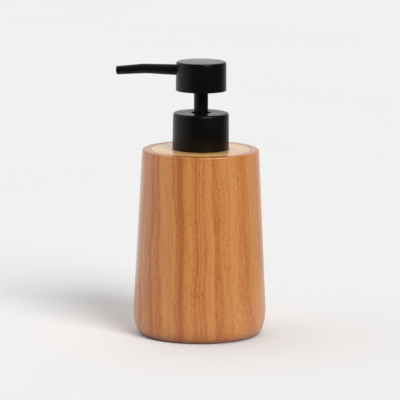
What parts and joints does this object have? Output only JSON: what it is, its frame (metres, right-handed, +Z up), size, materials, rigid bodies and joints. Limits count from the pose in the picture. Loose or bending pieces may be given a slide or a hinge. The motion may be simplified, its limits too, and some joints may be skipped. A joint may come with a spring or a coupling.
{
  "type": "soap pump dispenser",
  "caption": "Tapered turned wooden soap dispenser with a rounded foot, a pale wood disc let into its top, and a satin black press pump with a thin spout that bends down slightly.",
  "frame": {"origin": "centre of the underside of the base pad, on the pump's axis, where the dispenser stands on the table", "axes": "+Z up along the axis of the body and pump, -X the way the spout points at rest, +Y to complete a right-handed frame"},
  "size_m": [0.092, 0.0794, 0.1642],
  "materials": {
    "honey_wood": "satin lacquered, turned, striped honey and red-brown grain",
    "pale_wood": "matt, fine pale grain",
    "black_metal": "satin black coating on thin sheet and tube",
    "black_plastic": "moulded, black",
    "natural_plastic": "moulded, natural milky white",
    "black_foam": "thin soft pad, matt black",
    "grey_rubber": "soft seal, grey",
    "steel": "bright stainless wire and balls"
  },
  "bodies": {
    "bottle": {"wood_shell": "honey_wood", "top_disc": "pale_wood", "base_pad": "black_foam", "liner_bottle": "natural_plastic"},
    "gasket": {"gasket": "grey_rubber"},
    "pump": {"housing": "natural_plastic", "chaplet": "black_plastic", "ball_cage": "natural_plastic", "dip_tube": "natural_plastic", "spring": "steel"},
    "collar": {"collar_shell": "black_metal", "threaded_cap": "black_plastic"},
    "plunger": {"piston": "natural_plastic"},
    "head": {"stem": "black_plastic", "stem_foot": "natural_plastic", "stem_sleeve": "black_metal", "head_shell": "black_metal", "head_core": "black_plastic", "spout_tube": "black_metal"},
    "inlet_valve": {"inlet_ball": "steel"},
    "outlet_valve": {"outlet_ball": "steel"}
  },
  "joints": [
    {"name": "pump_lift", "type": "slide", "parent": "bottle", "child": "gasket", "axis": [0, 0, 1], "range_m": [0, 0.14]},
    {"name": "thread_rise", "type": "slide", "parent": "gasket", "child": "pump", "axis": [0, 0, 1], "range_m": [0, 0.00635]},
    {"name": "collar_turn", "type": "hinge", "parent": "pump", "child": "collar", "pos_m": [0, 0, 0.112], "axis": [0, 0, 1], "range_deg": [0, 540]},
    {"name": "press_stroke", "type": "slide", "parent": "pump", "child": "plunger", "axis": [0, 0, -1], "range_m": [0, 0.012], "stiffness_N_per_m": 320, "springref_m": -0.006, "deforming": ["spring"]},
    {"name": "head_swivel", "type": "hinge", "parent": "plunger", "child": "head", "pos_m": [0, 0, 0.1469], "axis": [0, 0, 1], "continuous": true},
    {"name": "inlet_ball_lift", "type": "slide", "parent": "pump", "child": "inlet_valve", "axis": [0, 0, 1], "range_m": [0, 0.0012]},
    {"name": "outlet_ball_lift", "type": "slide", "parent": "head", "child": "outlet_valve", "axis": [0, 0, 1], "range_m": [0, 0.0012]}
  ],
  "couplings": [
    {"joint": "collar_turn", "follows": "thread_rise", "rad_per_m": 1484.2}
  ]
}
